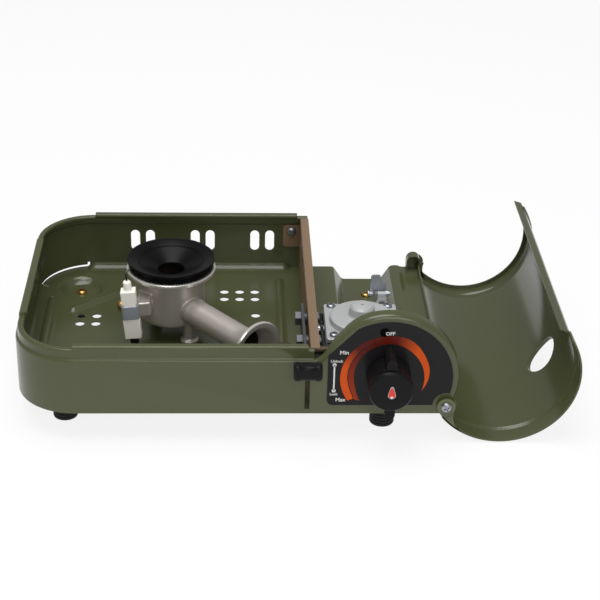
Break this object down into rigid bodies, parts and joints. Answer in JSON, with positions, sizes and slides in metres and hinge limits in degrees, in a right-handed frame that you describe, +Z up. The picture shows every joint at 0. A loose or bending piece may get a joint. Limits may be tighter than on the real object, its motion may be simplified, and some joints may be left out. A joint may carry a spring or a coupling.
{
  "type": "camping stove",
  "caption": "Portable gas camping stove with a pressed sheet tray, central burner, arched control panel and a curved cartridge lid swung open on the right",
  "frame": {"origin": "on the table, under the middle of the stove's box with the lid open", "axes": "+X from the burner tray to the open lid, +Y from the control panel to the back wall, +Z up"},
  "size_m": [0.3288, 0.206, 0.0837],
  "materials": {
    "olive_paint": "satin olive-green paint on pressed steel sheet",
    "brown_paint": "heat-resistant brown paint on steel sheet",
    "black_plate": "black painted or printed steel plate",
    "black_plastic": "moulded black plastic, lightly textured",
    "red_plastic": "glossy red moulded insert",
    "cast_alloy": "die-cast aluminium alloy, as cast",
    "cap_iron": "dark heat-blackened cap",
    "zinc_steel": "zinc-plated steel",
    "brass": "turned brass",
    "ceramic": "unglazed white ceramic",
    "rubber": "black rubber"
  },
  "bodies": {
    "stove_body": {"body_shell": "olive_paint", "heat_shield": "brown_paint", "heat_shield_screw": "zinc_steel", "fascia_plate": "black_plate", "regulator_body": "cast_alloy", "regulator_diaphragm": "rubber", "regulator_spring": "zinc_steel", "regulator_cover": "cast_alloy", "regulator_cover_screws": "zinc_steel", "inlet_seal": "rubber", "pawl_pin": "zinc_steel", "pawl_spring": "zinc_steel", "lever_pivot_pin": "zinc_steel", "piezo_igniter": "black_plastic", "ignition_lead": "rubber", "gas_jet": "brass", "jet_bracket": "zinc_steel", "bracket_bolts": "zinc_steel", "burner_body": "cast_alloy", "burner_cap": "cap_iron", "burner_screws": "zinc_steel", "igniter_insulator": "ceramic", "igniter_electrode": "zinc_steel", "igniter_clip": "zinc_steel", "clip_screw": "brass", "lid_hinge_screws": "zinc_steel", "foot_front_left": "rubber", "foot_rear_left": "rubber", "foot_front_right": "rubber", "foot_rear_right": "rubber", "foot_screws": "brass"},
    "lid_body": {"lid": "olive_paint"},
    "knob_body": {"control_knob": "black_plastic", "knob_pointer": "red_plastic", "valve_spindle": "zinc_steel"},
    "lever_body": {"lever_knob": "black_plastic", "lever_arm": "black_plate"},
    "pawl_body": {"collar_pawl": "zinc_steel"}
  },
  "joints": [
    {"name": "lid_hinge", "type": "hinge", "parent": "stove_body", "child": "lid_body", "pos_m": [0.08718, 0, 0.0246], "axis": [0, -1, 0], "range_deg": [0, 121]},
    {"name": "knob_turn", "type": "hinge", "parent": "stove_body", "child": "knob_body", "pos_m": [0.05257, -0.0825, 0.0452], "axis": [0, -1, 0], "range_deg": [0, 135]},
    {"name": "lock_lever", "type": "hinge", "parent": "stove_body", "child": "lever_body", "pos_m": [0.01727, -0.0165, 0.037], "axis": [1, 0, 0], "range_deg": [0, 14]},
    {"name": "collar_pawl_hinge", "type": "hinge", "parent": "stove_body", "child": "pawl_body", "pos_m": [0.05208, -0.003, 0.0552], "axis": [1, 0, 0], "range_deg": [0, 8], "stiffness_Nm_per_rad": 0.02, "springref_deg": -5.73}
  ]
}
